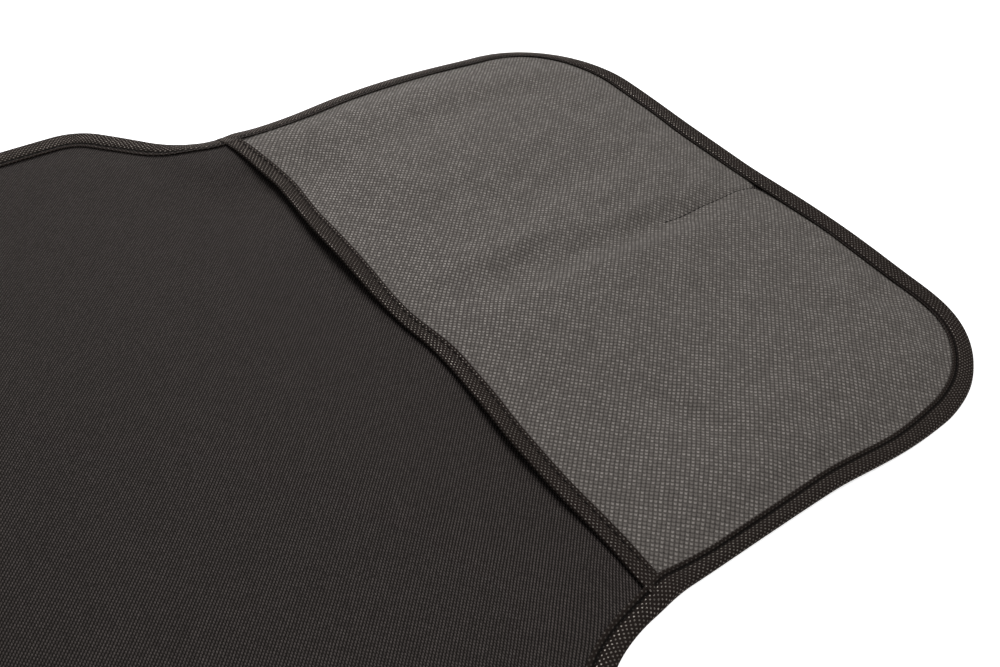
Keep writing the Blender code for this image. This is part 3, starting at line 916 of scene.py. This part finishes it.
def pocket_material():
    nodes = Nodes("grey_nonwoven")
    cut = nodes.cut()
    first, second, random = lattice(nodes, cut, POCKET_BOND_PITCH, 0.4)
    arc = nodes.math("MULTIPLY", nodes.math("MULTIPLY", second, second), 0.9)
    first = nodes.math("ADD", first, arc)
    column = nodes.math("COSINE", nodes.math("MULTIPLY", second, 2 * math.pi))
    row = nodes.math("COSINE", nodes.math("MULTIPLY", first, 2 * math.pi))
    column = nodes.ramp(column, -1.0, 0.2)
    row = nodes.ramp(row, -1.0, 0.3)
    bead = nodes.math("MULTIPLY", column, row)
    # Painted shade: the dark slits between the beads, where shade falls in the pressed hollows, are
    # painted into the colour
    painted_slit_shade = nodes.math("MULTIPLY", nodes.ramp(column, 0.1, 0.9, 1.0, 0.0),
                      nodes.ramp(row, 0.2, 0.8, 1.0, 0.0))
    painted_slit_shade = nodes.math("MULTIPLY", painted_slit_shade, nodes.ramp(random, 0.1, 0.9, 1.6, 0.1))
    # Painted highlight: small bright glints on some of the beads
    glint = nodes.math("MULTIPLY", nodes.ramp(bead, 0.80, 1.0), nodes.ramp(random, 0.35, 0.95))
    fibres = nodes.fibres(cut)
    cloud = nodes.noise(cut, 70.0, 3.0, 0.6)
    ground = nodes.mix(column, *POCKET_GROUND)
    uneven = nodes.ramp(random, 0.0, 1.0, 0.75, 1.05)
    # The beads' lighter tone is partly the cloth's own bond pattern and partly painted highlight on
    # the raised beads
    lit = nodes.math("MULTIPLY", bead, uneven)
    tone = nodes.mix(lit, ground, POCKET_LIT)
    tone = nodes.mix(glint, tone, POCKET_GLINT)
    fuzz = nodes.noise(cut, 1100.0, 3.0, 0.7)
    shade = nodes.total((fibres, 0.60), (fuzz, 1.4), (cloud, 0.30), (painted_slit_shade, -0.34), 0.02)
    nodes.set(Base_Color=nodes.vector("MULTIPLY", tone, nodes.spread(shade)))
    nodes.set(Roughness=nodes.ramp(lit, 0.45, 1.0, 0.85, 0.48), Specular_IOR_Level=0.32,
              Specular_Tint=WARM, Sheen_Weight=0.03, Sheen_Roughness=0.5)
    nodes.relief(nodes.total((bead, 0.8), (fibres, 0.35), 0.0), 0.00020)
    return nodes.material


def tape_material(name, lip, lip_shaded_share, groove_shade):
    nodes = Nodes(name)
    cut = nodes.cut()
    first, second, random = lattice(nodes, cut, TAPE_BOND_PITCH, 0.7)
    long = nodes.total((first, 0.58), (second, 0.58), 0.0)
    short = nodes.total((first, math.sqrt(0.5)), (second, -math.sqrt(0.5)), 0.0)
    squares = nodes.math("MULTIPLY", long, long), nodes.math("MULTIPLY", short, short)
    away = nodes.math("SQRT", nodes.math("ADD", *squares))
    wobble = nodes.noise(cut, 1500.0, 1.0)
    away = nodes.total((away, 1.0), (wobble, 0.12), -0.06)
    bond = nodes.ramp(away, 0.13, 0.27, 1.0, 0.0)
    fibres = nodes.fibres(cut)
    across = nodes.split(cut)[1]
    # Painted shade: the dots on the lip, which lies in shadow, are dimmed
    lip_shade_band = nodes.ramp(across, lip + 0.0004, lip + 0.0014, lip_shaded_share, 1.0)
    lit = nodes.math("MULTIPLY", bond, nodes.ramp(random, 0.0, 1.0, 0.55, 1.0))
    lit = nodes.math("MULTIPLY", lit, lip_shade_band)
    tone = nodes.mix(lit, *TAPE_TONES)
    # Painted shade: the tape is darkened along its stitched groove
    from_seam = nodes.math("ABSOLUTE", nodes.math("SUBTRACT", across, lip + 0.0002))
    groove = nodes.ramp(from_seam, 0.0003, 0.0010, groove_shade, 0.0)
    shade = nodes.math("ADD", groove, nodes.total((fibres, 0.9), (wobble, 0.2), 0.45))
    nodes.set(Base_Color=nodes.vector("MULTIPLY", tone, nodes.spread(shade)))
    nodes.set(Roughness=nodes.ramp(bond, 0.0, 1.0, 0.85, 0.34))
    nodes.set(Metallic=nodes.math("MULTIPLY", lit, 0.9))
    nodes.set(Specular_IOR_Level=0.10, Specular_Tint=WARM)
    nodes.relief(nodes.total((bond, -0.8), (fibres, 0.5), 0.0), 0.00012)
    return nodes.material


def twill_material():
    nodes = Nodes("black_twill")
    cut = nodes.cut()
    sway = nodes.noise(cut, 60.0, 2.0)
    parts = nodes.split(cut)
    across = nodes.total((parts[0], math.pi / YARN_PITCH[0]), (sway, 2.4), 0.0)
    along = nodes.total((parts[1], math.pi / YARN_PITCH[1]), 0.0)
    rib = nodes.math("COSINE", nodes.math("ADD", across, along))
    dots = nodes.math("COSINE", nodes.math("SUBTRACT", along, across))
    rows = nodes.math("COSINE", nodes.math("MULTIPLY", along, 2.0))
    columns = nodes.math("COSINE", nodes.math("MULTIPLY", across, 2.0))
    weave = nodes.total((rib, 0.42), (dots, 0.16), (rows, 0.26), (columns, 0.04), 0.45)
    grain = nodes.noise(cut, 2400.0, 2.0, 0.7)
    cells = nodes.turned(cut, 0, (1 / YARN_PITCH[0], 1 / YARN_PITCH[1], 1.0))
    yarn = nodes.cell_value(cells)
    cloud = nodes.noise(cut, 50.0, 3.0, 0.6)
    # The weave's tone is partly its yarns' own colour and partly painted light: painted shade in
    # the gaps between the ribs, and the rib tops painted lighter
    light = nodes.ramp(weave, 0.10, 0.90)
    tone = nodes.mix(light, *TWILL_TONES)
    shade = nodes.total((grain, 2.2), (cloud, 0.24), (yarn, 0.60), -0.58)
    nodes.set(Base_Color=nodes.vector("MULTIPLY", tone, nodes.spread(shade)))
    nodes.set(Roughness=0.80, Specular_IOR_Level=0.18, Specular_Tint=WARM, Sheen_Weight=0.07,
              Sheen_Roughness=0.35, Sheen_Tint=WARM)
    nodes.relief(weave, 0.00014)
    return nodes.material


def thread_material():
    nodes = Nodes("black_thread")
    cut = nodes.cut()
    parts = nodes.split(cut)
    twist = nodes.math("ADD", nodes.math("MULTIPLY", parts[0], THREAD_TWIST[0]),
                       nodes.math("MULTIPLY", parts[1], THREAD_TWIST[1]))
    ply = nodes.math("SINE", twist)
    nodes.set(Base_Color=nodes.mix(nodes.ramp(ply, -1.0, 1.0), *THREAD_TONES))
    nodes.set(Roughness=0.8, Specular_IOR_Level=0.05)
    nodes.relief(ply, 0.00005)
    return nodes.material


def dress():
    twill, grey = twill_material(), pocket_material()
    tape = tape_material("black_nonwoven_tape", LIP, 0.42, -0.80)
    narrow = tape_material("black_nonwoven_pocket_tape", POCKET_LIP, 0.85, -0.16)
    thread = thread_material()
    pieces = [
        (make_panel(twill), "main_panel", "twill_cloth"),
        (make_pocket(grey), "pocket_panel", "grey_nonwoven"),
        (make_edge_tape(tape), "edge_binding", "binding_tape"),
        (make_pocket_tape(narrow), "pocket_binding", "binding_tape"),
        (make_edge_stitches(thread), "edge_seam_thread", "sewing_thread"),
        (make_pocket_stitches(thread), "pocket_seam_thread", "sewing_thread"),
        (make_dart_stitches(thread), "dart_thread", "sewing_thread"),
    ]
    for piece, node, slot in pieces:
        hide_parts(node)


def make_floor():
    mesh = bpy.data.meshes.new("floor")
    corners = [(-1, -1), (1, -1), (1, 1), (-1, 1)]
    places = [(x * FLOOR_HALF, y * FLOOR_HALF, FLOOR_Z) for x, y in corners]
    mesh.from_pydata(places, [], [(0, 1, 2, 3)])
    nodes = Nodes("white_floor")
    path = nodes.tree.nodes.new("ShaderNodeLightPath")
    seen = nodes.math("MAXIMUM", path.outputs["Is Camera Ray"], path.outputs["Is Glossy Ray"])
    seen = nodes.math("MAXIMUM", seen, path.outputs["Is Transmission Ray"])
    nodes.set(Base_Color=FLOOR_TONE, Roughness=0.9, Emission_Color=(1, 1, 1, 1))
    nodes.set(Emission_Strength=nodes.math("MULTIPLY", seen, FLOOR_GLOW))
    mesh.materials.append(nodes.material)
    floor = bpy.data.objects.new("floor", mesh)
    bpy.context.scene.collection.objects.link(floor)


def make_lamp(name, place, target, size, power):
    data = bpy.data.lights.new(name, "AREA")
    data.shape = "DISK"
    data.size = size
    data.energy = power
    lamp = bpy.data.objects.new(name, data)
    turn = (Vector(target) - Vector(place)).to_track_quat("-Z", "Y")
    lamp.matrix_world = Matrix.Translation(place) @ turn.to_matrix().to_4x4()
    bpy.context.scene.collection.objects.link(lamp)


def make_light():
    world = bpy.data.worlds.new("studio")
    world.use_nodes = True
    tree = world.node_tree
    background = tree.nodes["Background"]
    path = tree.nodes.new("ShaderNodeLightPath")
    seen = tree.nodes.new("ShaderNodeMath")
    seen.operation = "MAXIMUM"
    tree.links.new(path.outputs["Is Camera Ray"], seen.inputs[0])
    tree.links.new(path.outputs["Is Transmission Ray"], seen.inputs[1])
    level = tree.nodes.new("ShaderNodeMapRange")
    tree.links.new(seen.outputs[0], level.inputs["Value"])
    level.inputs["To Min"].default_value = SKY_LIGHT
    level.inputs["To Max"].default_value = SKY_SEEN
    background.inputs["Color"].default_value = (1, 1, 1, 1)
    tree.links.new(level.outputs["Result"], background.inputs["Strength"])
    bpy.context.scene.world = world
    make_lamp("back_softbox", (-0.85, 0.38, 0.75), (-0.05, 0.10, 0), 0.7, 10)
    make_lamp("top_softbox", (0.62, 0.40, 1.4), (0.10, 0.15, 0), 1.0, 11)


def make_camera():
    data = bpy.data.cameras.new("camera")
    data.sensor_width = SENSOR
    data.lens = FOCAL_PIXELS / IMAGE_WIDTH * SENSOR
    data.clip_start = 0.01
    data.clip_end = 20
    camera = bpy.data.objects.new("camera", data)
    right = Vector(CAMERA_RIGHT).normalized()
    forward = Vector(CAMERA_FORWARD).normalized()
    up = right.cross(forward).normalized()
    right = forward.cross(up).normalized()
    turn = Matrix((right, up, -forward)).transposed().to_4x4()
    camera.matrix_world = Matrix.Translation(CAMERA_PLACE) @ turn
    bpy.context.scene.collection.objects.link(camera)
    bpy.context.scene.camera = camera


dress()
make_floor()
make_light()
make_camera()
bpy.context.scene.view_settings.view_transform = "Standard"
